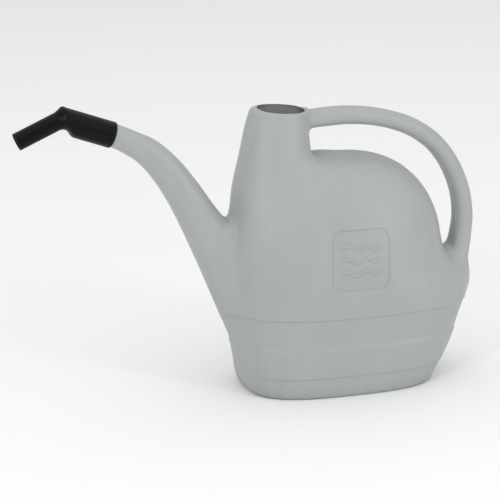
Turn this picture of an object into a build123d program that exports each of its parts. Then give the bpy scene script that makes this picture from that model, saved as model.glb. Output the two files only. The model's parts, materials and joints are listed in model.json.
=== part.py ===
"""Blow-moulded watering can with a push-on pouring nozzle.

Frame: millimetres, +Z up, origin at the middle of the base. The spout points to -X, the handle
lies on +X, and the can is symmetric about the XZ plane.
"""

from build123d import *

import os
from math import atan2, cos, degrees, radians, sin

# Driving dimensions -------------------------------------------------------------------------

wall = 2.0                      # blown wall of the can
roundness = 2.2                 # exponent of the shoulder's oval: 2 is an ellipse, more is squarer

# Belly: the lower tank, which bulges back under the handle
can_width = 135.0
belly_front = -116.0
belly_rear = 157.0
belly_top = 149.0
# Shares of the height, of the front and rear reach, and of the width
belly_shape = [
    (0.0, 0.81, 0.67, 0.85),
    (0.03, 0.87, 0.71, 0.92),
    (0.08, 0.93, 0.755, 0.97),
    (0.15, 0.957, 0.793, 0.985),
    (0.31, 0.983, 0.866, 1.0),
    (0.47, 0.991, 0.936, 1.0),
    (0.60, 0.996, 0.981, 0.993),
    (0.70, 1.0, 1.0, 0.978),
    (0.79, 0.991, 0.98, 0.948),
    (0.87, 0.983, 0.93, 0.90),
    (0.945, 0.966, 0.835, 0.84),
    (1.0, 0.93, 0.74, 0.77),
]

# Shoulder: the upper tank, a rounded hump over straight sides
shoulder_base = 60.0            # hidden inside the belly
shoulder_spring = 120.0         # where the straight sides start to close in
shoulder_top = 255.5
shoulder_rear = 127.0
shoulder_side_setback = 0.5     # how far its sides stand inside the belly's
shoulder_steps = [0.0, 0.35, 0.6, 0.78, 0.9, 0.97]

# Filler neck: an oval tube whose rim falls towards the handle
neck_setback = 54.0             # from the front of the belly to the neck's axis
neck_rise = 52.1                # from the top of the shoulder to the rim
neck_foot_level = 150.0
rim_length = 60.0
rim_width = 57.4
rim_tilt = 3.3
# Share of the way up from the foot, then how far the front, the rear and each side flare out
neck_shape = [
    (0.0, 21.5, 18.0, 21.3),
    (0.194, 25.0, 17.0, 22.3),
    (0.336, 24.5, 14.0, 19.3),
    (0.491, 22.0, 10.0, 14.8),
    (0.691, 16.0, 7.5, 8.8),
    (0.904, 7.5, 3.0, 2.8),
]

# Spout
spout_end_radius = 12.25        # outside of the straight end that the nozzle pushes onto
spout_end_length = 30.0         # how far that end goes into the nozzle
spout_end_rise = 20.0           # degrees that it points above level
spout_reach = 130.8             # from the front of the belly to the nozzle's open end
spout_drop = 15.4               # from the rim down to the nozzle's open end
spout_root_inside = 50.0        # how far behind the belly's front the spout's root starts
spout_root_level = 22.0
# Share of the way out and of the way up, then how far the depth and the width flare out
spout_shape = [
    (0.0, 0.0, 13.75, 0.75),
    (0.139, 0.156, 17.75, 2.75),
    (0.232, 0.311, 17.75, 5.75),
    (0.32, 0.448, 14.25, 8.25),
    (0.4, 0.546, 11.75, 8.75),
    (0.485, 0.641, 9.25, 7.75),
    (0.584, 0.747, 7.35, 6.35),
    (0.686, 0.842, 4.75, 4.35),
    (0.791, 0.917, 2.35, 2.35),
    (0.882, 0.96, 0.85, 0.85),
]

# Handle
handle_half_depth = 10.0
handle_half_width = 13.0
handle_drop = 12.0              # from the rim down to the top of the grip's centre line
handle_rear_setback = 6.8       # from the belly's rear to the centre line
handle_foot_depth = 37.0        # how far the foot reaches down inside the belly
# Share of the way back from the neck's axis, and of the way up from the foot
handle_shape = [
    (0.08, 0.961),
    (0.16, 0.978),
    (0.2545, 0.997),
    (0.481, 0.983),
    (0.716, 0.876),
    (0.905, 0.643),
    (0.996, 0.349),
    (0.986, 0.125),
    (0.951, 0.0),
]

# Nozzle
nozzle_length = 58.6            # from its open end to the knee
nozzle_wall = 1.69              # round the socket, and over the knee
outlet_radius = 9.4
outlet_length = 51.1            # from the knee to the tip
outlet_fall = 23.7              # degrees that the outlet points below level
outlet_wall = 1.6
fit_clearance = 0.06            # radial, between the nozzle's socket and the spout's end
stop_gap = 0.3                  # between the end of the spout and the nozzle's stop ring
stop_width = 2.0
stop_height = 1.5

# Where the one moulding is parted into its regions
crotch_station = 4              # the spout's section that the parting plane stands above
crotch_lift = 9.0
handle_zone_gap = 7.0           # from the shoulder out to the handle's region
handle_root_gap = 17.0          # from the rear of the rim back to the handle's region
handle_foot_gap = 3.0           # from the top of the belly up to the handle's region

# Sizes that follow ---------------------------------------------------------------------------

rim_level = shoulder_top + neck_rise
rim_axis = belly_front + neck_setback
shoulder_middle = (shoulder_rear + belly_front) / 2
shoulder_reach = (shoulder_rear - belly_front) / 2
shoulder_half_width = can_width / 2 - shoulder_side_setback
socket_radius = spout_end_radius + fit_clearance
nozzle_radius = socket_radius + nozzle_wall
mouth_x = belly_front - spout_reach
mouth_z = rim_level - spout_drop
spout_root_x = belly_front + spout_root_inside
spout_stations = [
    (
        spout_root_x + (mouth_x - spout_root_x) * out,
        spout_root_level + (mouth_z - spout_root_level) * up,
    )
    for out, up, _, _ in spout_shape
]
spout_stations.append((mouth_x, mouth_z))
handle_top = rim_level - handle_drop
handle_rear = belly_rear - handle_rear_setback
handle_foot_level = belly_top - handle_foot_depth
handle_path = [
    (
        rim_axis + (handle_rear - rim_axis) * back,
        handle_foot_level + (handle_top - handle_foot_level) * up,
    )
    for back, up in handle_shape
]


# Helpers ------------------------------------------------------------------------------------


def quarter(share):
    """Height of the shoulder's unit oval at a share of its half width."""
    return (1 - abs(share) ** roundness) ** (1 / roundness)


def arch(reach, height):
    """Points over the shoulder's oval, from its front to its rear, about its springing."""
    points = []
    for angle in range(180, -1, -15):
        along = cos(radians(angle))
        up = sin(radians(angle))
        size = (abs(along) ** roundness + up**roundness) ** (-1 / roundness)
        points.append((shoulder_middle + reach * along * size, shoulder_spring + height * up * size))
    return points


def across_spout(x, z, rise):
    """Plane across the spout: its normal points to the tip and its X lies across the can."""
    return Plane((x, 0, z), x_dir=(0, 1, 0), z_dir=(-cos(radians(rise)), 0, sin(radians(rise))))


def spout_rise(index):
    """Degrees that the spout climbs at one of its stations."""
    before = spout_stations[max(index - 1, 0)]
    after = spout_stations[index + 1]
    return degrees(atan2(after[1] - before[1], before[0] - after[0]))


mouth = across_spout(mouth_x, mouth_z, spout_end_rise)
rim = Plane(
    (rim_axis, 0, rim_level),
    x_dir=(cos(radians(rim_tilt)), 0, -sin(radians(rim_tilt))),
    z_dir=(sin(radians(rim_tilt)), 0, cos(radians(rim_tilt))),
)


def belly(inset):
    """Loft the lower tank from level ovals, pulled in all round by inset."""
    with BuildPart() as body:
        for up, front, rear, side in belly_shape:
            level = inset + (belly_top - 2 * inset) * up
            half_length = (belly_rear * rear - belly_front * front) / 2
            middle = (belly_rear * rear + belly_front * front) / 2
            with BuildSketch(Plane((middle, 0, level))):
                Ellipse(half_length - inset, can_width / 2 * side - inset)
        loft()
    return body.part


def shoulder(inset):
    """Loft the upper tank across its width from arches on straight legs."""
    steps = [-share for share in reversed(shoulder_steps[1:])] + shoulder_steps
    with BuildPart() as body:
        for share in steps:
            reach = (shoulder_reach - inset) * quarter(share)
            points = arch(reach, (shoulder_top - shoulder_spring - inset) * quarter(share))
            front_foot = (points[0][0], shoulder_base)
            rear_foot = (points[-1][0], shoulder_base)
            with BuildSketch(Plane.XZ.offset(share * (shoulder_half_width - inset))):
                with BuildLine():
                    Spline(*points, tangents=((0, 1), (0, -1)))
                    Line(points[-1], rear_foot)
                    Line(rear_foot, front_foot)
                    Line(front_foot, points[0])
                make_face()
        loft()
    return body.part


def neck(inset, beyond=0.0):
    """Loft the filler neck up to its tilted rim, and past it by beyond."""
    with BuildPart() as body:
        for up, front, rear, side in neck_shape:
            level = neck_foot_level + (rim_level - neck_foot_level) * up
            half_length = (rim_length + front + rear) / 2
            with BuildSketch(Plane((rim_axis + (rear - front) / 2, 0, level))):
                Ellipse(half_length - inset, rim_width / 2 + side - inset)
        with BuildSketch(rim) as mouth_oval:
            Ellipse(rim_length / 2 - inset, rim_width / 2 - inset)
        loft()
        if beyond:
            extrude(mouth_oval.sketch, amount=beyond)
    return body.part


def horn(inset, beyond=0.0):
    """Loft the curved spout, add its straight end, and go past that end by beyond."""
    with BuildPart() as body:
        for index, (_, _, deeper, wider) in enumerate(spout_shape):
            with BuildSketch(across_spout(*spout_stations[index], spout_rise(index))):
                Ellipse(spout_end_radius + wider - inset, spout_end_radius + deeper - inset)
        with BuildSketch(mouth) as end_circle:
            Circle(spout_end_radius - inset)
        loft()
        extrude(end_circle.sketch, amount=spout_end_length + beyond)
    return body.part


def bow(inset):
    """Sweep the handle's oval along its centre line."""
    with BuildPart() as body:
        with BuildLine(Plane.XZ):
            centre_line = Spline(*handle_path)
        with BuildSketch(Plane(centre_line @ 0, x_dir=(0, 1, 0), z_dir=centre_line % 0)):
            Ellipse(handle_half_width - inset, handle_half_depth - inset)
        sweep(path=centre_line)
    return body.part


# The can, moulded whole -----------------------------------------------------------------------

with BuildPart() as moulding:
    add(belly(0.0))
    add(shoulder(0.0))
    add(neck(0.0))
    add(horn(0.0))
    add(bow(0.0))
    add(belly(wall), mode=Mode.SUBTRACT)
    add(shoulder(wall), mode=Mode.SUBTRACT)
    add(neck(wall, beyond=wall), mode=Mode.SUBTRACT)
    add(horn(wall, beyond=wall), mode=Mode.SUBTRACT)
    add(bow(wall), mode=Mode.SUBTRACT)

# Its regions, parted face to face -------------------------------------------------------------

handle_zone_front = rim_axis + rim_length / 2 + handle_root_gap
handle_zone_base = belly_top + handle_foot_gap
beyond_can = 2 * belly_rear

with BuildSketch(Plane.XZ) as handle_zone:
    with Locations((handle_zone_front, handle_zone_base)):
        Rectangle(beyond_can, beyond_can, align=Align.MIN)
    with BuildLine():
        over_shoulder = arch(
            shoulder_reach + handle_zone_gap, shoulder_top - shoulder_spring + handle_zone_gap
        )
        Spline(*over_shoulder)
        Line(over_shoulder[-1], over_shoulder[0])
    make_face(mode=Mode.SUBTRACT)

with BuildPart() as handle:
    add(moulding.part)
    extrude(handle_zone.sketch, amount=can_width, both=True, mode=Mode.INTERSECT)

with BuildPart() as vessel:
    add(moulding.part)
    extrude(handle_zone.sketch, amount=can_width, both=True, mode=Mode.SUBTRACT)

crotch = across_spout(*spout_stations[crotch_station], spout_rise(crotch_station)).offset(crotch_lift)

with BuildPart() as tank:
    add(vessel.part)
    split(bisect_by=crotch, keep=Keep.BOTTOM)

with BuildPart() as above_crotch:
    add(vessel.part)
    split(bisect_by=crotch, keep=Keep.TOP)

with BuildPart() as spout:
    add(above_crotch.part.solids().sort_by(Axis.X)[0])

with BuildPart() as filler_neck:
    add(above_crotch.part.solids().sort_by(Axis.X)[-1])

# Nozzle: a socket over the end of the spout, a rounded knee and a thinner outlet ----------------

knee = mouth.offset(nozzle_length).origin
outlet = across_spout(knee.X, knee.Z, -outlet_fall)

with BuildPart() as nozzle:
    with BuildSketch(mouth):
        Circle(nozzle_radius)
    extrude(amount=nozzle_length)
    with Locations(knee):
        Sphere(nozzle_radius)
    with BuildSketch(outlet):
        Circle(outlet_radius)
    extrude(amount=outlet_length)
    with BuildSketch(mouth):
        Circle(socket_radius)
    extrude(amount=nozzle_length, mode=Mode.SUBTRACT)
    with Locations(knee):
        Sphere(socket_radius, mode=Mode.SUBTRACT)
    with BuildSketch(outlet):
        Circle(outlet_radius - outlet_wall)
    extrude(amount=outlet_length, mode=Mode.SUBTRACT)
    with BuildSketch(mouth.offset(spout_end_length + stop_gap)):
        Circle(socket_radius)
        Circle(socket_radius - stop_height, mode=Mode.SUBTRACT)
    extrude(amount=stop_width)

# Write each piece -------------------------------------------------------------------------------

pieces = {
    "tank": tank,
    "filler_neck": filler_neck,
    "spout": spout,
    "handle": handle,
    "nozzle": nozzle,
}
os.makedirs("parts", exist_ok=True)
for name, piece in pieces.items():
    piece.part.label = name
    export_step(piece.part, f"parts/{name}.step")
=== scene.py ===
"""A blow-moulded watering can and its swivelling pouring nozzle, built as thin plastic shells."""

import json
import math

import bmesh
import bpy
import numpy as np
import openvdb
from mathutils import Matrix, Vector


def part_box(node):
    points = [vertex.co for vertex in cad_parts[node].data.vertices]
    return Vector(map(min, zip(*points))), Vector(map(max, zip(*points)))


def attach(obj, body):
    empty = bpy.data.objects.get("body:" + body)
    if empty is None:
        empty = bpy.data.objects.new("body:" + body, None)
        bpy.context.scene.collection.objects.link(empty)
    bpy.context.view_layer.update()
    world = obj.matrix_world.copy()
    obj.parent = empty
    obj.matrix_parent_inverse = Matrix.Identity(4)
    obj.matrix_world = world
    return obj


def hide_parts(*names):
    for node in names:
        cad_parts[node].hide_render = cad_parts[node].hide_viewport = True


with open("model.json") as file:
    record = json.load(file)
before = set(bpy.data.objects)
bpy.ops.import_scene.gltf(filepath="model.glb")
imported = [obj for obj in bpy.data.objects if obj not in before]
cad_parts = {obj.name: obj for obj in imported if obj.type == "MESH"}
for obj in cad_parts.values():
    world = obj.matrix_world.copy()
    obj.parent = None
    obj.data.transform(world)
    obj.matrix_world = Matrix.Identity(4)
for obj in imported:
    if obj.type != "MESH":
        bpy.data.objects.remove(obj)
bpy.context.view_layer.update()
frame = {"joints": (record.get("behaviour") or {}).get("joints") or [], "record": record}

bl_info = {
    "name": "Watering can",
    "version": (1, 0, 0),
    "blender": (4, 5, 0),
    "location": "3D View > Sidebar > Watering can",
    "description": "Builds a blow-moulded watering can with its nozzle and a studio to show it in",
    "category": "Add Mesh",
}

MM = 0.001


def mounted(name):
    """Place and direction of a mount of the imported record, with lengths in millimetres."""
    mount = next(m for m in frame["record"]["mounts"] if m["name"] == name)
    return np.array(mount["pos_m"]) / MM, np.array(mount["axis"]), mount["dims"]


SWIVEL = frame["joints"][0]
SPOUT_MOUTH = np.array(SWIVEL["pos_m"]) / MM
SPOUT_AXIS = np.array(SWIVEL["axis"])
OUTLET_MIDDLE, OUTLET_AXIS, OUTLET_DIMS = mounted("outlet")
OUTLET_RADIUS = OUTLET_DIMS["r_mm"]
OUTLET_TIP = OUTLET_MIDDLE + OUTLET_AXIS * OUTLET_DIMS["length_mm"] / 2
RIM_CENTRE, RIM_UP, _ = mounted("filler_mouth")


# ---------------------------------------------------------------- shape of the moulding

# All shapes are in millimetres, as distances that are below zero inside.

# Lying sections of the tank from the base up: height, front, rear, half width and squareness.
TANK_SECTIONS = (
    (-12, -99, 101, 64, 3),
    (0, -103, 107.6, 66.9, 3),
    (8, -107.2, 112, 67.3, 3),
    (22, -110, 120, 67.4, 2.95),
    (46, -111.3, 132.5, 67.5, 2.8),
    (70, -111.6, 141.2, 67.5, 2.75),
    (90, -113.2, 149.4, 67.5, 2.6),
    (104, -114.7, 152.8, 67.3, 2.4),
    (116, -115.6, 149.5, 67.1, 2.3),
    (128, -116.6, 136.5, 67, 2.3),
    (142, -117, 125, 67, 2.35),
    (160, -117, 122.2, 67, 2.35),
    (190, -117, 123.2, 67, 2.35),
    (320, -117, 125, 67, 2.35),
)
DOME_FOOT = 120.0
DOME_HEIGHT = 136.0
BASE_EDGE_RADIUS = 3.5

# Lying sections of the filler neck, in the same order.
NECK_SECTIONS = (
    (40, -88, -50, 22, 2.2),
    (80, -98, -38, 32, 2.2),
    (115, -107, -26, 42, 2.2),
    (150, -113.5, -16, 50, 2.2),
    (180, -117, -16, 51, 2.2),
    (202, -116.5, -20, 48, 2.2),
    (226, -114, -26, 43.5, 2.2),
    (257, -107.3, -30, 37.5, 2.2),
    (290, -100.6, -33.5, 31.5, 2.2),
    (309, -94.6, -33.5, 28.9, 2.2),
    (330, -86, -35, 27, 2.2),
)
NECK_FOOT = 60.0

SPOUT_RADIUS = 12.25
# How far the spout's plain end reaches into the nozzle.
SPOUT_INSERT = 30.0
# How much further the spout's centreline runs on, so that its end can be cut flat.
SPOUT_OVERRUN = 35

# Stations along the spout and the handle: x, z, half depth and half width.
SPOUT_STATIONS = (
    (-60, 8, 22, 12),
    (-78, 36, 26, 13),
    (-91, 64, 28.8, 15),
    (-108, 106, 29, 18),
    (-124.5, 142.8, 27.7, 20.5),
    (-139, 169.3, 24.8, 21),
    (-154, 195, 21.4, 20),
    (-171, 224.2, 18.9, 18.4),
    (-189, 250.2, 16.9, 16.6),
    (-208, 270.3, 15, 14.8),
    (-225.5, 281.5, 13.1, 13.1),
    (*SPOUT_MOUTH[[0, 2]], SPOUT_RADIUS, SPOUT_RADIUS),
    (*(SPOUT_MOUTH + SPOUT_OVERRUN * SPOUT_AXIS)[[0, 2]], SPOUT_RADIUS, SPOUT_RADIUS),
)
HANDLE_STATIONS = (
    (-62, 288.8, 9.2, 12),
    (-45, 292.3, 9.4, 12.3),
    (-28, 294.8, 9.8, 13),
    (-8, 296, 9.9, 13),
    (14, 296, 9.7, 13),
    (40, 293, 9.6, 13),
    (68, 285.8, 9.6, 13),
    (92.5, 274.8, 9.7, 13),
    (115.5, 257, 10, 13),
    (133.7, 232, 10.3, 13),
    (145.6, 203, 10.6, 13.3),
    (149.7, 176, 10.8, 13.8),
    (148.2, 155, 11.3, 14.5),
    (144.5, 135, 12.5, 16),
    (138, 108, 14.5, 19),
)
LIMB_ROUNDNESS = 2.3

# The ridge of the tank is raised by this much where it runs into the neck.
RIDGE_LIFT = 3.6
RIDGE_HEIGHTS = (205, 240)
RIDGE_RUN = (12, -26)

NECK_FOOT_RADIUS = 20
# Fillets: the radius at the start, the radius at the end, and the stretch between the two.
NECK_FILLET = (3, 22, 6, 32)
SPOUT_FILLET = (14, 18, 3, 18)
HANDLE_FILLET = (6, 14, 170, 140)

RIM_RADIUS = 3
# The cut at the rim climbs behind the mouth, to leave the handle whole: rise, start and end.
RIM_CLIMBS = ((9, -37, -26), (300, -26, 0))

FILLER_HOLE_X = -62.4
FILLER_HOLE_HALVES = (25.1, 25.9)
FILLER_HOLE_SQUARENESS = 2.2
# Turns the ratio of sizes at the hole into about a distance.
FILLER_HOLE_SCALE = 25

# Heights at which a column's sections are worked out are this far apart.
COLUMN_STEP = 0.5
LIMB_PARTS = 8
# The least value that a root or a slope is taken from.
TINY = 1e-9
LEAST_SLOPE = 1e-4


def spline(stations, parts=10):
    """Points of a smooth curve through the stations."""
    given = np.array(stations, float)
    padded = np.vstack([2 * given[0] - given[1], given, 2 * given[-1] - given[-2]])
    t = np.linspace(0, 1, parts, endpoint=False)[:, None]
    runs = []
    for a, b, c, d in zip(padded[:-3], padded[1:-2], padded[2:-1], padded[3:]):
        square = (2 * a - 5 * b + 4 * c - d) * t**2
        cube = (3 * b - a - 3 * c + d) * t**3
        runs.append(0.5 * (2 * b + (c - a) * t + square + cube))
    return np.vstack(runs + [given[-1]])


def smooth(low, high, value):
    """Rises smoothly from 0 at low to 1 at high."""
    t = np.clip((value - low) / (high - low), 0, 1)
    return t * t * (3 - 2 * t)


def fade(start, end, low, high, value):
    """Goes smoothly from start to end as the value goes from low to high."""
    return start + (end - start) * smooth(low, high, value)


def ramp(middle, half, value):
    """Rises straight from 0 to 1 within half a width each side of middle."""
    return np.clip((value - middle + half) / (2 * half), 0, 1)


def meet(a, b, radius):
    """What two shapes share, with the edge between them rounded."""
    outside = np.hypot(np.maximum(a + radius, 0), np.maximum(b + radius, 0))
    return np.minimum(-radius, np.maximum(a, b)) + outside


def join(a, b, radius):
    """Two shapes as one, with a fillet between them."""
    return -meet(-a, -b, radius)


def column(sections, dome=None):
    """A shape of lying superellipse sections, closed by a dome where one is given."""
    curve = spline(sections)
    levels = np.arange(curve[0, 0], curve[-1, 0], COLUMN_STEP)
    front, rear, width, square = (np.interp(levels, curve[:, 0], part) for part in curve.T[1:])
    tables = (front + rear) / 2, (rear - front) / 2, width
    slopes = [np.gradient(t, levels) for t in tables]

    def distance(x, y, z):
        centre, length, width = (np.interp(z, levels, t) for t in tables)
        d_centre, d_length, d_width = (np.interp(z, levels, s) for s in slopes)
        n = np.interp(z, levels, square)
        u = np.abs(x - centre) / length
        v = np.abs(y) / width
        w = np.maximum(z - dome[0], 0) / dome[1] if dome else 0 * z
        r = np.maximum(u**n + v**n + w**n, TINY) ** (1 / n)
        du = -(np.sign(x - centre) * d_centre + u * d_length) / length
        dv = -v * d_width / width
        rise = u ** (n - 1) * du + v ** (n - 1) * dv
        if dome:
            rise = rise + w ** (n - 1) / dome[1]
        steep = np.sqrt((u ** (n - 1) / length) ** 2 + (v ** (n - 1) / width) ** 2 + rise**2)
        return (r - 1) / np.maximum(steep * r ** (1 - n), LEAST_SLOPE)

    return distance


def limb(stations):
    """A bent bar of superellipse section whose centreline lies in the plane y = 0."""
    curve = spline(stations, LIMB_PARTS)
    n = LIMB_ROUNDNESS

    def distance(x, y, z):
        x, z = np.broadcast_arrays(x, z)
        nearest = np.full(x.shape, np.inf)
        depth, width = np.zeros(x.shape), np.zeros(x.shape)
        for a, b in zip(curve[:-1], curve[1:]):
            run = b[:2] - a[:2]
            t = np.clip(((x - a[0]) * run[0] + (z - a[1]) * run[1]) / (run @ run), 0, 1)
            away = (x - a[0] - t * run[0]) ** 2 + (z - a[1] - t * run[1]) ** 2
            nearer = away < nearest
            nearest = np.where(nearer, away, nearest)
            depth = np.where(nearer, a[2] + t * (b[2] - a[2]), depth)
            width = np.where(nearer, a[3] + t * (b[3] - a[3]), width)
        u = np.sqrt(nearest) / depth
        v = np.abs(y) / width
        r = np.maximum(u**n + v**n, TINY) ** (1 / n)
        steep = np.hypot(u ** (n - 1) / depth, v ** (n - 1) / width)
        return (r - 1) / np.maximum(steep * r ** (1 - n), LEAST_SLOPE)

    return distance


tank_shape = column(TANK_SECTIONS, (DOME_FOOT, DOME_HEIGHT))
neck_shape = column(NECK_SECTIONS)
spout_shape = limb(SPOUT_STATIONS)
handle_shape = limb(HANDLE_STATIONS)


def along(place, direction):
    """A function that measures how far a point lies past a place in a direction."""

    def distance(x, y, z):
        dx, dy, dz = direction
        return (x - place[0]) * dx + (y - place[1]) * dy + (z - place[2]) * dz

    return distance


above_rim = along(RIM_CENTRE, RIM_UP)
past_spout_end = along(SPOUT_MOUTH + SPOUT_AXIS * SPOUT_INSERT, SPOUT_AXIS)


def can_open(x, y, z):
    """Distance to the can's skin, with the neck and the spout running on past their mouths."""
    level = z - RIDGE_LIFT * smooth(*RIDGE_HEIGHTS, z) * smooth(*RIDGE_RUN, x)
    body = tank_shape(x, y, level)
    neck = meet(neck_shape(x, y, z), NECK_FOOT - z, NECK_FOOT_RADIUS)
    shell = join(body, neck, fade(*NECK_FILLET, np.abs(y)))
    shell = join(shell, spout_shape(x, y, z), fade(*SPOUT_FILLET, np.abs(y)))
    shell = join(shell, handle_shape(x, y, z), fade(*HANDLE_FILLET, z))
    return meet(shell, -z, BASE_EDGE_RADIUS)


def can_closed(x, y, z):
    """The same skin, closed by a flat rim and a flat spout end."""
    climb = sum(rise * smooth(start, end, x) for rise, start, end in RIM_CLIMBS)
    shell = meet(can_open(x, y, z), above_rim(x, y, z) - climb, RIM_RADIUS)
    return np.maximum(shell, past_spout_end(x, y, z))


def filler_hole(x, y, z):
    """Below zero inside the oval mouth in the rim."""
    n = FILLER_HOLE_SQUARENESS
    u = np.abs(x - FILLER_HOLE_X) / FILLER_HOLE_HALVES[0]
    v = np.abs(y) / FILLER_HOLE_HALVES[1]
    return ((u**n + v**n) ** (1 / n) - 1) * FILLER_HOLE_SCALE


def rod(place, direction, radius):
    """Distance to a round rod along a line."""

    def distance(x, y, z):
        s = along(place, direction)(x, y, z)
        off = [c - p - s * d for c, p, d in zip((x, y, z), place, direction)]
        return np.sqrt(sum(o * o for o in off)) - radius

    return distance


# ---------------------------------------------------------------- turning a shape into a mesh

# The flattest slope that a point is moved along, and the furthest that it moves at once.
LEAST_STEEPNESS = 0.05
LONGEST_MOVE = 1.5
# The distance that stands for everything outside a grid.
FAR_AWAY = 10.0

# Round a mouth: how deep its flat face may lie, how far short of it the inner skin stops, and how
# far out both are worked on.
FACE_DEPTH = 1.2
INNER_STOP = 3
MOUTH_REACH = 12
# Where the open edges of both skins lie that are bridged across the wall.
EDGE_DEPTH = 6
EDGE_REACH = 14


def gradient(shape, points, reach=0.05):
    """Direction in which the shape's distance grows at each point."""
    parts = []
    for axis in range(3):
        step = np.zeros(3)
        step[axis] = reach
        parts.append((shape(*(points + step).T) - shape(*(points - step).T)) / (2 * reach))
    return np.stack(parts, 1)


def settle(shape, points, rounds=3):
    """Moves points onto the surface where the shape's distance is zero."""
    for _ in range(rounds):
        away = shape(*points.T)[:, None]
        slope = gradient(shape, points)
        steep = np.maximum((slope**2).sum(1, keepdims=True), LEAST_STEEPNESS)
        points = points - np.clip(away / steep, -LONGEST_MOVE, LONGEST_MOVE) * slope
    return points


def skin(shape, low, high, step):
    """A mesh of quads on the shape's surface, mirror-true about y = 0."""
    half = math.ceil(high[1] / step)
    xs = np.arange(low[0], high[0] + step, step)
    ys = np.arange(-half, half + 1) * step
    zs = np.arange(low[2], high[2] + step, step)
    values = shape(xs[:, None, None], ys[None, :, None], zs[None, None, :])
    grid = openvdb.FloatGrid(background=FAR_AWAY)
    grid.copyFromArray(np.broadcast_to(values, (len(xs), len(ys), len(zs))).astype(np.float32))
    points, _, quads = grid.convertToPolygons(isovalue=0.0, adaptivity=0.0)
    points = points * step + np.array([xs[0], ys[0], zs[0]])
    return settle(shape, points.astype(float)), quads


def as_bmesh(points, faces):
    """A bmesh of the points and faces."""
    mesh = bpy.data.meshes.new("draft")
    mesh.from_pydata([tuple(p) for p in points], [], [tuple(int(i) for i in f) for f in faces])
    bm = bmesh.new()
    bm.from_mesh(mesh)
    bpy.data.meshes.remove(mesh)
    return bm


def coordinates(bm):
    """Places of all points of the mesh, in its own order."""
    bm.verts.index_update()
    return np.array([v.co for v in bm.verts], float).reshape(-1, 3)


def score(bm, measure, where, snap=0.6):
    """Cuts the mesh along the line where measure is zero, so that an edge runs on it."""
    points = coordinates(bm)
    values = measure(*points.T)
    inside = where(*points.T)
    near = np.nonzero(inside & (np.abs(values) < snap))[0]
    slope = gradient(measure, points[near])
    steep = np.maximum((slope**2).sum(1), LEAST_STEEPNESS)
    shift = (values[near] / steep)[:, None] * slope
    close = np.linalg.norm(shift, axis=1) < snap
    near, shift = near[close], shift[close]
    verts = list(bm.verts)
    for i, move in zip(near, shift):
        verts[i].co -= Vector(move)
    values[near] = 0
    on_line = [verts[i] for i in near]
    for edge in list(bm.edges):
        a, b = edge.verts[0].index, edge.verts[1].index
        if values[a] * values[b] < 0 and inside[a] and inside[b]:
            share = values[a] / (values[a] - values[b])
            on_line.append(bmesh.utils.edge_split(edge, edge.verts[0], share)[1])
    bmesh.ops.connect_verts(bm, verts=on_line)


def drop_faces(bm, chosen):
    """Deletes the faces whose middles are chosen."""
    middles = np.array([f.calc_center_median() for f in bm.faces], float).reshape(-1, 3)
    doomed = [f for f, out in zip(list(bm.faces), chosen(*middles.T)) if out]
    bmesh.ops.delete(bm, geom=doomed, context="FACES")


def open_edges(bm, near):
    """Edges with one face, where both ends are near."""
    inside = near(*coordinates(bm).T)
    return [e for e in bm.edges if e.is_boundary and all(inside[v.index] for v in e.verts)]


def hollow(outer, inner, mouths):
    """Joins an outer and an inner skin round each mouth.

    A mouth is two functions: the distance past its plane, and the distance to its hole.
    """
    for past, hole in mouths:

        def on_face(x, y, z):
            return past(x, y, z) > -FACE_DEPTH

        score(outer, hole, lambda x, y, z: on_face(x, y, z) & (hole(x, y, z) < MOUTH_REACH))
        drop_faces(outer, lambda x, y, z: on_face(x, y, z) & (hole(x, y, z) < 0))

        def past_stop(x, y, z):
            return past(x, y, z) + INNER_STOP

        def nearby(x, y, z):
            return (np.abs(past(x, y, z)) < MOUTH_REACH) & (hole(x, y, z) < MOUTH_REACH)

        score(inner, past_stop, nearby)
        drop_faces(inner, lambda x, y, z: (past_stop(x, y, z) > 0) & (hole(x, y, z) < MOUTH_REACH))
    bmesh.ops.reverse_faces(inner, faces=inner.faces)
    draft = bpy.data.meshes.new("draft")
    inner.to_mesh(draft)
    inner.free()
    outer.from_mesh(draft)
    bpy.data.meshes.remove(draft)
    for past, hole in mouths:

        def at_edge(x, y, z):
            return (np.abs(past(x, y, z)) < EDGE_DEPTH) & (hole(x, y, z) < EDGE_REACH)

        bmesh.ops.bridge_loops(outer, edges=open_edges(outer, at_edge))
    return outer


# ---------------------------------------------------------------- moulded details

# Levels of the three lines round the tank: a step in, a ledge out and a step in again.
BAND_TOP = 88.0
BAND_MIDDLE = 55.7
BAND_LOW = 23.3
# Half the height over which each step runs.
BAND_SLOPES = {BAND_TOP: 0.35, BAND_MIDDLE: 0.8, BAND_LOW: 0.35}
# The band and the foot fade out towards the spout, between these places.
BAND_FADE = (-136, -120)
FOOT_FADE = (-112, -84)
PANEL_MIDDLE = (7.0, 151.7)
PANEL_CORNER = 12.0
PANEL_SLOPE = 0.4
WAVE_COUNT = 3
WAVE_PITCH = 14.0
WAVE_HEIGHT = 2.6
WAVE_LENGTH = 22.0
WAVE_REACH = 22.0
WAVE_HALF_WIDTH = 1.5
RIB_SHARE = 0.9
SEAM_HALF_WIDTH = 0.5
# The seam starts above the base and ends below the rim.
SEAM_START = 3
SEAM_STOP = 6
# The panels lie on the flanks, past this distance from the middle plane and above the band.
FLANK = 25
PANEL_FLOOR = BAND_TOP + 10

# How far from a line or the panel the mesh is cut, and how far a point may move onto a cut.
LINE_REACH = 8
PANEL_REACH = 3
BAND_SNAP = 0.4
SEAM_SNAP = 0.3
PANEL_SNAP = 0.2
PANEL_DIVISIONS = 2

# The box that the can is worked out in, and how much coarser its inner skin is.
CAN_LOW = np.array((-290.0, -72.0, -6.0))
CAN_HIGH = np.array((166.0, 72.0, 318.0))
INNER_COARSENESS = 1.35


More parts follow.
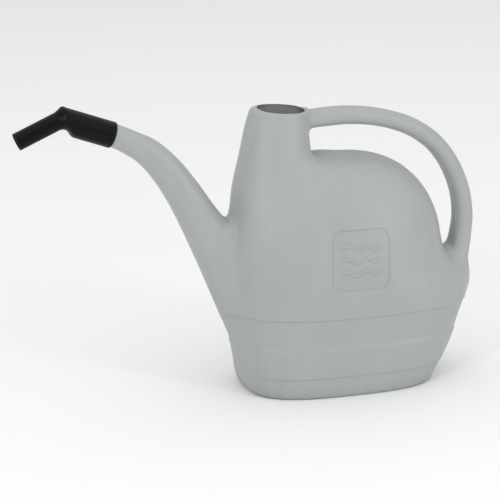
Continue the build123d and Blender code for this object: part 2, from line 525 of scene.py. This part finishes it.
def band_depth(x, z):
    """How deep the band between the lines and the foot below them lie in the wall."""
    above = {level: ramp(level, slope, z) for level, slope in BAND_SLOPES.items()}
    band = above[BAND_MIDDLE] - above[BAND_TOP]
    foot = 1 - above[BAND_LOW]
    return band * smooth(*BAND_FADE, x) + foot * smooth(*FOOT_FADE, x)


def panel_distance(x, z, size):
    """Distance to the rounded outline of the panel, below zero inside."""
    u = np.abs(x - PANEL_MIDDLE[0]) - size[0] / 2 + PANEL_CORNER
    v = np.abs(z - PANEL_MIDDLE[1]) - size[1] / 2 + PANEL_CORNER
    outside = np.hypot(np.maximum(u, 0), np.maximum(v, 0))
    return outside + np.minimum(np.maximum(u, v), 0) - PANEL_CORNER


def wave_distance(x, z):
    """Distance to the middle line of the nearest wavy rib inside the panel."""
    along_x = x - PANEL_MIDDLE[0]
    phase = along_x * 2 * math.pi / WAVE_LENGTH
    slant = np.hypot(1, WAVE_HEIGHT * 2 * math.pi / WAVE_LENGTH * np.cos(phase))
    past_end = np.maximum(np.abs(along_x) - WAVE_REACH, 0)
    nearest = np.full_like(x, np.inf)
    for k in range(WAVE_COUNT):
        level = PANEL_MIDDLE[1] + (k - (WAVE_COUNT - 1) / 2) * WAVE_PITCH
        middle = level + WAVE_HEIGHT * np.sin(phase)
        aside = np.hypot((z - middle) / slant, past_end)
        nearest = np.minimum(nearest, aside)
    return nearest


def on_panel(x, y, z, size):
    """Whether a point lies on or just round a panel."""
    return (panel_distance(x, z, size) < PANEL_REACH) & (np.abs(y) > FLANK)


def refine(bm, where, times):
    """Divides the faces that touch the chosen places."""
    for _ in range(times):
        inside = where(*coordinates(bm).T)
        edges = [e for e in bm.edges if inside[e.verts[0].index] and inside[e.verts[1].index]]
        bmesh.ops.subdivide_edges(bm, edges=edges, cuts=1, use_grid_fill=True)


def score_details(outer, size):
    """Cuts the can's outer skin along every edge of its bands, seam and panels."""
    for level, slope in BAND_SLOPES.items():

        def near_level(x, y, z):
            return np.abs(z - level) < LINE_REACH

        for side in (-slope, slope):
            score(outer, lambda x, y, z: z - level - side, near_level, BAND_SNAP)
    for side in (-SEAM_HALF_WIDTH, 0, SEAM_HALF_WIDTH):
        score(outer, lambda x, y, z: y - side, lambda x, y, z: np.abs(y) < LINE_REACH, SEAM_SNAP)

    def near_panel(x, y, z):
        return on_panel(x, y, z, size)

    refine(outer, near_panel, PANEL_DIVISIONS)
    for side in (-PANEL_SLOPE, PANEL_SLOPE):
        outline = lambda x, y, z: panel_distance(x, z, size) - side
        score(outer, outline, near_panel, PANEL_SNAP)
        rib = lambda x, y, z: wave_distance(x, z) - WAVE_HALF_WIDTH - side
        score(outer, rib, near_panel, PANEL_SNAP)


def press_details(outer, can, size):
    """Sinks the band, the foot and the panels into the can's outer skin, and raises its seam."""
    points = settle(can_closed, coordinates(outer), 2)
    slope = gradient(can_closed, points)
    slope /= np.linalg.norm(slope, axis=1, keepdims=True)
    x, y, z = points.T
    # The foot is sunk sideways only, so that the base stays on the floor.
    sideways = slope * (1, 1, 0)
    points = points - sideways * (can.band_depth / MM * band_depth(x, z))[:, None]
    side_wall = (np.abs(y) > FLANK) & (z > PANEL_FLOOR)
    inside = 1 - ramp(0, PANEL_SLOPE, panel_distance(x, z, size))
    rib = 1 - ramp(WAVE_HALF_WIDTH, PANEL_SLOPE, wave_distance(x, z))
    depth = can.panel_depth / MM * np.where(side_wall, inside - RIB_SHARE * rib, 0)
    bead = np.maximum(1 - np.abs(y) / SEAM_HALF_WIDTH, 0)
    bead = bead * (above_rim(x, y, z) < -SEAM_STOP) * (z > SEAM_START)
    depth = depth - can.seam_height / MM * bead
    points = points - slope * depth[:, None]
    for vert, place in zip(outer.verts, points):
        vert.co = place


def can_mesh(can):
    """The can as one hollow shell with its bands, panels and seam."""
    size = can.panel_width / MM, can.panel_height / MM
    step, wall = can.mesh_step / MM, can.wall / MM
    outer = as_bmesh(*skin(can_closed, CAN_LOW, CAN_HIGH, step))
    score_details(outer, size)
    press_details(outer, can, size)

    def can_inside(x, y, z):
        return can_open(x, y, z) + wall

    inner = as_bmesh(*skin(can_inside, CAN_LOW, CAN_HIGH, step * INNER_COARSENESS))
    spout_hole = rod(SPOUT_MOUTH, SPOUT_AXIS, SPOUT_RADIUS - wall)
    return hollow(outer, inner, ((above_rim, filler_hole), (past_spout_end, spout_hole)))


# ---------------------------------------------------------------- nozzle

SLEEVE_RADIUS = 14.0
BORE_RADIUS = 12.31
OUTLET_BORE_RADIUS = 7.8
# The sleeve's axis and the outlet's axis cross in the knee.
TO_TIP = OUTLET_TIP - SPOUT_MOUTH
KNEE_REACH = np.cross(TO_TIP, OUTLET_AXIS)[1] / np.cross(SPOUT_AXIS, OUTLET_AXIS)[1]
KNEE = SPOUT_MOUTH + SPOUT_AXIS * KNEE_REACH
# The sleeve ends in a shoulder that leans from square with the spout towards the outlet.
SHOULDER_AXIS = SPOUT_AXIS * 0.22 + OUTLET_AXIS * 0.78
SHOULDER_AXIS /= np.linalg.norm(SHOULDER_AXIS)
SHOULDER_BACK = 4.6
SHOULDER_RADIUS = 3.5
OUTLET_ROOT = 4
KNEE_FILLET = 9
KNEE_WALL = 1.7
SOCKET_EDGE_RADIUS = 0.9
TIP_EDGE_RADIUS = 0.5
# Room round the nozzle's box for its outer skin, and more for the bore that runs out past its ends.
NOZZLE_MARGIN = 3
BORE_OVERRUN = 8


def nozzle_open(x, y, z, sleeve_radius=SLEEVE_RADIUS, outlet_radius=OUTLET_RADIUS, inset=0.0):
    """Distance to the sleeve and the outlet, both running on past their ends."""
    sleeve = rod(SPOUT_MOUTH, SPOUT_AXIS, sleeve_radius)(x, y, z)
    shoulder = along(KNEE, SHOULDER_AXIS)(x, y, z) + SHOULDER_BACK + inset
    sleeve = meet(sleeve, shoulder, SHOULDER_RADIUS)
    outlet = rod(OUTLET_TIP, OUTLET_AXIS, outlet_radius)(x, y, z)
    outlet = meet(outlet, -along(KNEE, OUTLET_AXIS)(x, y, z) - OUTLET_ROOT, OUTLET_ROOT)
    return join(sleeve, outlet, KNEE_FILLET)


before_mouth = along(SPOUT_MOUTH, -SPOUT_AXIS)
past_tip = along(OUTLET_TIP, OUTLET_AXIS)


def nozzle_closed(x, y, z):
    """The nozzle's outside, closed by a flat face at each end."""
    shape = meet(nozzle_open(x, y, z), before_mouth(x, y, z), SOCKET_EDGE_RADIUS)
    return meet(shape, past_tip(x, y, z), TIP_EDGE_RADIUS)


def nozzle_inside(x, y, z):
    """The bore: a socket for the spout, then the narrower outlet."""
    return nozzle_open(x, y, z, BORE_RADIUS, OUTLET_BORE_RADIUS, inset=KNEE_WALL)


def nozzle_mesh(nozzle):
    """The nozzle as one hollow shell, open at the socket and at the tip."""
    low, high = (np.array(corner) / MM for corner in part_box("nozzle"))
    low, high = low - NOZZLE_MARGIN, high + NOZZLE_MARGIN
    step = nozzle.mesh_step / MM
    outer = as_bmesh(*skin(nozzle_closed, low, high, step))
    inner = as_bmesh(*skin(nozzle_inside, low - BORE_OVERRUN, high + BORE_OVERRUN, step))
    socket = rod(SPOUT_MOUTH, SPOUT_AXIS, BORE_RADIUS)
    tip = rod(OUTLET_TIP, OUTLET_AXIS, OUTLET_BORE_RADIUS)
    return hollow(outer, inner, ((before_mouth, socket), (past_tip, tip)))


# ---------------------------------------------------------------- pieces

# Edges shorter than this are closed up.
SHORTEST_EDGE = 0.02 * MM
SHARP_ANGLE = math.radians(50)


def finished_piece(name, bm, material, body, nodes):
    """The shell as an object in metres that rides on its body and stands for its CAD nodes."""
    bmesh.ops.scale(bm, vec=(MM, MM, MM), verts=bm.verts)
    bmesh.ops.dissolve_degenerate(bm, dist=SHORTEST_EDGE, edges=bm.edges)
    bmesh.ops.triangulate(bm, faces=[f for f in bm.faces if len(f.verts) > 4])
    mesh = bpy.data.meshes.new(name)
    bm.to_mesh(mesh)
    bm.free()
    mesh.shade_smooth()
    mesh.set_sharp_from_angle(angle=SHARP_ANGLE)
    mesh.materials.append(material)
    piece = bpy.data.objects.new(name, mesh)
    bpy.context.collection.objects.link(piece)
    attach(piece, body)
    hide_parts(*nodes)


# ---------------------------------------------------------------- materials


def linear(code):
    """Linear colour of an sRGB hex code."""
    parts = [int(code[i : i + 2], 16) / 255 for i in (1, 3, 5)]
    return [c / 12.92 if c <= 0.04045 else ((c + 0.055) / 1.055) ** 2.4 for c in parts]


def add(tree, kind, settings=None, **links):
    """Adds a node, sets its properties and sockets, and links other nodes' sockets to it."""
    node = tree.nodes.new(kind)
    for name, value in (settings or {}).items():
        if name in node.inputs:
            node.inputs[name].default_value = value
        else:
            setattr(node, name, value)
    for name, source in links.items():
        tree.links.new(source, node.inputs[name.replace("_", " ")])
    return node


def new_material(name):
    """An empty node material, its tree, and the point on the piece in metres."""
    material = bpy.data.materials.new(name)
    material.use_nodes = True
    tree = material.node_tree
    tree.nodes.clear()
    place = add(tree, "ShaderNodeTexCoord").outputs["Object"]
    return material, tree, place


def noise(tree, place, size, detail, roughness=0.5):
    """Soft random spots of about a size in metres."""
    settings = {"Scale": 1 / size, "Detail": detail, "Roughness": roughness}
    return add(tree, "ShaderNodeTexNoise", settings, Vector=place).outputs["Fac"]


def stretch(tree, place, scale):
    """The point scaled along each axis, so that a pattern on it is drawn out."""
    return add(tree, "ShaderNodeMapping", {"Scale": scale}, Vector=place).outputs["Vector"]


def spread(tree, value, low, high, start, end):
    """Goes from start to end as a value goes from low to high."""
    settings = {"From Min": low, "From Max": high, "To Min": start, "To Max": end}
    return add(tree, "ShaderNodeMapRange", settings, Value=value).outputs["Result"]


def bump(tree, height, depth, **below):
    """The normal of a relief of a depth in metres."""
    settings = {"Strength": 1.0, "Distance": depth}
    return add(tree, "ShaderNodeBump", settings, Height=height, **below).outputs["Normal"]


def shade(tree, low, high, factor):
    """A colour between two, by a factor from 0 to 1; each is a colour or another node's socket."""
    mix = tree.nodes.new("ShaderNodeMix")
    mix.data_type = "RGBA"
    for name, colour in (("A", low), ("B", high)):
        if isinstance(colour, bpy.types.NodeSocket):
            tree.links.new(colour, mix.inputs[name])
        else:
            mix.inputs[name].default_value = (*colour, 1)
    tree.links.new(factor, mix.inputs["Factor"])
    return mix.outputs["Result"]


def finish_surface(tree, settings, colour, **links):
    """Links a colour and other sockets to a principled surface, and that to the output."""
    surface = add(tree, "ShaderNodeBsdfPrincipled", settings, Base_Color=colour, **links)
    add(tree, "ShaderNodeOutputMaterial", Surface=surface.outputs["BSDF"])


def blow_moulded_polyethylene(colour):
    """High-density polyethylene blown into a blasted mould: pale, satin, mottled and grained."""
    material, tree, place = new_material("blow_moulded_polyethylene")
    grey = np.array(colour)
    # The pigment is drawn out with the hanging tube of plastic, so faint streaks run upright.
    streaks = noise(tree, stretch(tree, place, (1, 1, 0.15)), 0.011, 3.0, 0.6)
    clouds = noise(tree, place, 0.07, 3.0)
    mottle = add(tree, "ShaderNodeMath", {"operation": "ADD"})
    tree.links.new(streaks, mottle.inputs[0])
    tree.links.new(clouds, mottle.inputs[1])
    level = spread(tree, mottle.outputs[0], 0.7, 1.3, 0.0, 1.0)
    base = shade(tree, grey * (0.955, 0.965, 0.97), grey * (1.035, 1.03, 1.02), level)
    # Standing outdoors leaves the lowest 14 mm a little dustier than the rest.
    height = add(tree, "ShaderNodeSeparateXYZ", Vector=place).outputs["Z"]
    foot = spread(tree, height, 0.014, 0.0, 0.0, 0.35)
    dusty = shade(tree, base, grey * (0.78, 0.75, 0.7), foot)
    # Uneven cooling leaves the wall very slightly wavy over about 14 mm.
    wavy = bump(tree, noise(tree, place, 0.014, 1.0), 0.00016)
    # Blasted mould grain is about 0.25 mm; 0.9 mm is the finest that a view of the whole can shows.
    grained = bump(tree, noise(tree, place, 0.0009, 2.0), 0.00004, Normal=wavy)
    # Rubbed patches are smoother, so gloss varies over the skin.
    gloss = spread(tree, clouds, 0.3, 0.7, 0.38, 0.52)
    settings = {"IOR": 1.52, "Specular IOR Level": 0.5}
    finish_surface(tree, settings, dusty, Roughness=gloss, Normal=grained)
    return material


def injection_moulded_polypropylene(colour):
    """Black polypropylene from a fine-grained mould: dark and satin, with faint flow marks."""
    material, tree, place = new_material("injection_moulded_polypropylene")
    black = np.array(colour)
    # Flow marks run along the part, about 4 mm apart.
    marks = noise(tree, stretch(tree, place, (0.2, 1, 1)), 0.004, 3.0)
    base = shade(tree, black * 0.85, black * 1.2, marks)
    # Spark-eroded grain is about 0.1 mm; 0.7 mm is the finest that shows.
    grained = bump(tree, noise(tree, place, 0.0007, 2.0), 0.00002)
    gloss = spread(tree, marks, 0.3, 0.7, 0.26, 0.38)
    settings = {"IOR": 1.49, "Specular IOR Level": 0.14}
    finish_surface(tree, settings, base, Roughness=gloss, Normal=grained)
    return material


def seamless_paper(colour):
    """Matt studio background paper: pale, even and without gloss."""
    material, tree, place = new_material("seamless_background_paper")
    pale = np.array(colour)
    # Paper fibre is far too fine to show; soft clouds of 0.3 m stand for its unevenness.
    base = shade(tree, pale * 0.99, pale, noise(tree, place, 0.3, 2.0))
    finish_surface(tree, {"Roughness": 0.9, "IOR": 1.45}, base)
    return material


# ---------------------------------------------------------------- studio

# The camera stands to the left of the can's near side, a little above it.
CAMERA_AIM = Vector((-0.09663, 0.0, 0.15485))
CAMERA_DISTANCE = 2.4
CAMERA_TURN = math.radians(18)
CAMERA_LIFT = math.radians(16)
CAMERA_LENS = 160.7
CAMERA_SENSOR = 36.0
CAMERA_FAR = 20.0

# Metres, like the camera's.
SOFTBOX_AIM = (-0.05, 0, 0.16)
STRIP_SIZE = (0.22, 1.3)
LEFT_STRIP = (-1.5, -1.3, 0.8)
RIGHT_STRIP = (1.2, -1.6, 0.7)
TOP_SIZE = (5, 5)
TOP_PLACE = (0, 0, 2.6)
FLOOR_REACH = 6.0
FLOOR_PARTS = 24


def aim(thing, target):
    """Turns a camera or a light towards a place."""
    thing.rotation_euler = (Vector(target) - thing.location).to_track_quat("-Z", "Y").to_euler()


def add_camera():
    """A long lens at the viewing angle."""
    data = bpy.data.cameras.new("camera")
    data.lens = CAMERA_LENS
    data.sensor_width = CAMERA_SENSOR
    data.clip_end = CAMERA_FAR
    camera = bpy.data.objects.new("camera", data)
    flat = math.cos(CAMERA_LIFT)
    across, back = -math.sin(CAMERA_TURN) * flat, -math.cos(CAMERA_TURN) * flat
    away = Vector((across, back, math.sin(CAMERA_LIFT)))
    camera.location = CAMERA_AIM + away * CAMERA_DISTANCE
    bpy.context.collection.objects.link(camera)
    aim(camera, CAMERA_AIM)
    bpy.context.scene.camera = camera


def add_softbox(name, place, size, power):
    """A soft rectangular light aimed at the middle of the can."""
    data = bpy.data.lights.new(name, "AREA")
    data.shape = "RECTANGLE"
    data.size, data.size_y = size
    data.energy = power
    light = bpy.data.objects.new(name, data)
    light.location = place
    bpy.context.collection.objects.link(light)
    aim(light, SOFTBOX_AIM)


def add_floor(colour):
    """A wide, flat, pale floor."""
    bm = bmesh.new()
    bmesh.ops.create_grid(bm, x_segments=FLOOR_PARTS, y_segments=FLOOR_PARTS, size=FLOOR_REACH)
    mesh = bpy.data.meshes.new("studio_floor")
    bm.to_mesh(mesh)
    bm.free()
    mesh.materials.append(seamless_paper(colour))
    floor = bpy.data.objects.new("studio_floor", mesh)
    bpy.context.collection.objects.link(floor)


# ---------------------------------------------------------------- add-on


class CanSettings(bpy.types.PropertyGroup):
    colour: bpy.props.FloatVectorProperty(
        name="Colour",
        description="Colour of the can's plastic",
        subtype="COLOR",
        size=3,
        min=0,
        max=1,
        default=linear("#9FA4A3"),
    )
    wall: bpy.props.FloatProperty(
        name="Wall",
        description="Thickness of the can's wall",
        default=2 * MM,
        min=1 * MM,
        max=4 * MM,
        unit="LENGTH",
    )
    band_depth: bpy.props.FloatProperty(
        name="Band depth",
        description="How deep the band round the tank and its foot lie in the wall",
        default=1.1 * MM,
        min=0,
        max=1.5 * MM,
        unit="LENGTH",
    )
    panel_width: bpy.props.FloatProperty(
        name="Panel width",
        description="Width of the sunk panel on each side",
        default=65 * MM,
        min=40 * MM,
        max=90 * MM,
        unit="LENGTH",
    )
    panel_height: bpy.props.FloatProperty(
        name="Panel height",
        description="Height of the sunk panel on each side",
        default=66 * MM,
        min=40 * MM,
        max=90 * MM,
        unit="LENGTH",
    )
    panel_depth: bpy.props.FloatProperty(
        name="Panel depth",
        description="How deep the panel lies in the wall",
        default=1.1 * MM,
        min=0,
        max=1.5 * MM,
        unit="LENGTH",
    )
    seam_height: bpy.props.FloatProperty(
        name="Seam height",
        description="Height of the bead where the mould's halves met",
        default=0.25 * MM,
        min=0,
        max=0.6 * MM,
        unit="LENGTH",
    )
    mesh_step: bpy.props.FloatProperty(
        name="Mesh step",
        description="Size of the faces on the smooth parts of the skin",
        default=3 * MM,
        min=2 * MM,
        max=6 * MM,
        unit="LENGTH",
    )


class NozzleSettings(bpy.types.PropertyGroup):
    colour: bpy.props.FloatVectorProperty(
        name="Colour",
        description="Colour of the nozzle's plastic",
        subtype="COLOR",
        size=3,
        min=0,
        max=1,
        default=linear("#070707"),
    )
    mesh_step: bpy.props.FloatProperty(
        name="Mesh step",
        description="Size of the faces on the nozzle",
        default=0.9 * MM,
        min=0.6 * MM,
        max=2 * MM,
        unit="LENGTH",
    )


class StudioSettings(bpy.types.PropertyGroup):
    floor_colour: bpy.props.FloatVectorProperty(
        name="Floor colour",
        description="Colour of the background paper",
        subtype="COLOR",
        size=3,
        min=0,
        max=1,
        default=linear("#F4F4F4"),
    )
    side_light: bpy.props.FloatProperty(
        name="Side lights",
        description="Power of the two soft lights in front of the can",
        default=8.0,
        min=0,
        max=200,
        unit="POWER",
    )
    top_light: bpy.props.FloatProperty(
        name="Top light",
        description="Power of the wide soft light over the can",
        default=39.0,
        min=0,
        max=200,
        unit="POWER",
    )
    surround: bpy.props.FloatProperty(
        name="Surround",
        description="Strength of the even white light from all round",
        default=0.7,
        min=0,
        max=5,
    )


class AddCan(bpy.types.Operator):
    """Build the can's shell: tank, filler neck, spout and handle in one moulding"""

    bl_idname = "watering_can.add_can"
    bl_label = "Can"

    def execute(self, context):
        can = context.scene.watering_can
        material = blow_moulded_polyethylene(can.colour)
        nodes = ("tank", "filler_neck", "spout", "handle")
        finished_piece("can_shell", can_mesh(can), material, "can", nodes)
        return {"FINISHED"}


class AddNozzle(bpy.types.Operator):
    """Build the angled nozzle that turns on the end of the spout"""

    bl_idname = "watering_can.add_nozzle"
    bl_label = "Nozzle"

    def execute(self, context):
        nozzle = context.scene.watering_can_nozzle
        material = injection_moulded_polypropylene(nozzle.colour)
        finished_piece(
            "pouring_nozzle", nozzle_mesh(nozzle), material, "nozzle", ("nozzle",)
        )
        return {"FINISHED"}


class AddStudio(bpy.types.Operator):
    """Add the floor, the soft lights and the camera"""

    bl_idname = "watering_can.add_studio"
    bl_label = "Studio"

    def execute(self, context):
        studio = context.scene.watering_can_studio
        add_floor(studio.floor_colour)
        add_softbox("left_softbox", LEFT_STRIP, STRIP_SIZE, studio.side_light)
        add_softbox("right_softbox", RIGHT_STRIP, STRIP_SIZE, studio.side_light)
        add_softbox("top_softbox", TOP_PLACE, TOP_SIZE, studio.top_light)
        context.scene.view_settings.view_transform = "Standard"
        world = bpy.data.worlds.new("surround")
        world.use_nodes = True
        background = world.node_tree.nodes["Background"]
        background.inputs["Color"].default_value = (1, 1, 1, 1)
        background.inputs["Strength"].default_value = studio.surround
        context.scene.world = world
        add_camera()
        return {"FINISHED"}


class WateringCanPanel(bpy.types.Panel):
    bl_label = "Watering can"
    bl_idname = "VIEW3D_PT_watering_can"
    bl_space_type = "VIEW_3D"
    bl_region_type = "UI"
    bl_category = "Watering can"

    def draw(self, context):
        groups = (
            (AddCan, context.scene.watering_can),
            (AddNozzle, context.scene.watering_can_nozzle),
            (AddStudio, context.scene.watering_can_studio),
        )
        for operator, settings in groups:
            box = self.layout.box()
            box.operator(operator.bl_idname)
            for name in settings.__annotations__:
                box.prop(settings, name)


GROUPS = {
    "watering_can": CanSettings,
    "watering_can_nozzle": NozzleSettings,
    "watering_can_studio": StudioSettings,
}
OPERATORS = (AddCan, AddNozzle, AddStudio)


def register():
    for cls in (*GROUPS.values(), *OPERATORS, WateringCanPanel):
        bpy.utils.register_class(cls)
    for name, cls in GROUPS.items():
        setattr(bpy.types.Scene, name, bpy.props.PointerProperty(type=cls))


def unregister():
    for name in GROUPS:
        delattr(bpy.types.Scene, name)
    for cls in (WateringCanPanel, *OPERATORS, *GROUPS.values()):
        bpy.utils.unregister_class(cls)


def main():
    register()
    bpy.ops.watering_can.add_can()
    bpy.ops.watering_can.add_nozzle()
    bpy.ops.watering_can.add_studio()


if __name__ == "__main__":
    main()
